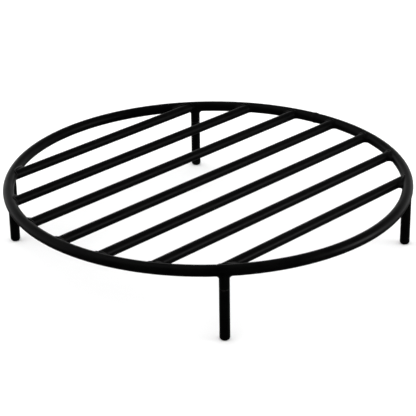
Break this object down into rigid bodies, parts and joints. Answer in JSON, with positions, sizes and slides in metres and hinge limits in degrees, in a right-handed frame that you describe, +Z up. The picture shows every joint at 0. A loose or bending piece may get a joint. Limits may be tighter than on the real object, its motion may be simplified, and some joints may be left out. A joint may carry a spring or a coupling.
{
  "type": "fire pit grate",
  "caption": "Round fire pit grate of black steel rod: a hoop with parallel bars welded across it, on screw-on straight legs that hold logs above the ash.",
  "frame": {"origin": "floor level under the middle of the hoop: the bottom centre of the box", "axes": "+Z up, bars along Y with the front at -Y, +X to the right seen from the front"},
  "size_m": [0.5589, 0.559, 0.104],
  "materials": {
    "black_steel": "satin black heat-resistant paint",
    "weld_bead": "satin black paint over a rippled weld bead",
    "stud_steel": "bright zinc-plated screw thread"
  },
  "bodies": {
    "root": {"ring": "black_steel", "bar_1": "black_steel", "bar_2": "black_steel", "bar_3": "black_steel", "bar_4": "black_steel", "bar_5": "black_steel", "bar_6": "black_steel", "bar_7": "black_steel", "bar_end_welds": "weld_bead", "leg_socket_welds": "weld_bead", "ring_closing_weld": "weld_bead", "leg_socket_front_right": "black_steel", "leg_socket_back_right": "black_steel", "leg_socket_back_left": "black_steel", "leg_socket_front_left": "black_steel"},
    "stud_front_right": {"leg_stud_front_right": "stud_steel"},
    "leg_front_right": {"leg_rod_front_right": "black_steel"},
    "stud_back_right": {"leg_stud_back_right": "stud_steel"},
    "leg_back_right": {"leg_rod_back_right": "black_steel"},
    "stud_back_left": {"leg_stud_back_left": "stud_steel"},
    "leg_back_left": {"leg_rod_back_left": "black_steel"},
    "stud_front_left": {"leg_stud_front_left": "stud_steel"},
    "leg_front_left": {"leg_rod_front_left": "black_steel"}
  },
  "joints": [
    {"name": "leg_travel_front_right", "type": "slide", "parent": "root", "child": "stud_front_right", "axis": [0, 0, -1], "range_m": [0, 0.01125]},
    {"name": "leg_turn_front_right", "type": "hinge", "parent": "stud_front_right", "child": "leg_front_right", "pos_m": [0.2034, -0.18059, 0.0709], "axis": [0, 0, -1], "range_deg": [0, 3241]},
    {"name": "leg_travel_back_right", "type": "slide", "parent": "root", "child": "stud_back_right", "axis": [0, 0, -1], "range_m": [0, 0.01125]},
    {"name": "leg_turn_back_right", "type": "hinge", "parent": "stud_back_right", "child": "leg_back_right", "pos_m": [0.2034, 0.18059, 0.0709], "axis": [0, 0, -1], "range_deg": [0, 3241]},
    {"name": "leg_travel_back_left", "type": "slide", "parent": "root", "child": "stud_back_left", "axis": [0, 0, -1], "range_m": [0, 0.01125]},
    {"name": "leg_turn_back_left", "type": "hinge", "parent": "stud_back_left", "child": "leg_back_left", "pos_m": [-0.2034, 0.18059, 0.0709], "axis": [0, 0, -1], "range_deg": [0, 3241]},
    {"name": "leg_travel_front_left", "type": "slide", "parent": "root", "child": "stud_front_left", "axis": [0, 0, -1], "range_m": [0, 0.01125]},
    {"name": "leg_turn_front_left", "type": "hinge", "parent": "stud_front_left", "child": "leg_front_left", "pos_m": [-0.2034, -0.18059, 0.0709], "axis": [0, 0, -1], "range_deg": [0, 3241]}
  ],
  "couplings": [
    {"joint": "leg_turn_front_right", "follows": "leg_travel_front_right", "rad_per_m": 5026.5},
    {"joint": "leg_turn_back_right", "follows": "leg_travel_back_right", "rad_per_m": 5026.5},
    {"joint": "leg_turn_back_left", "follows": "leg_travel_back_left", "rad_per_m": 5026.5},
    {"joint": "leg_turn_front_left", "follows": "leg_travel_front_left", "rad_per_m": 5026.5}
  ]
}
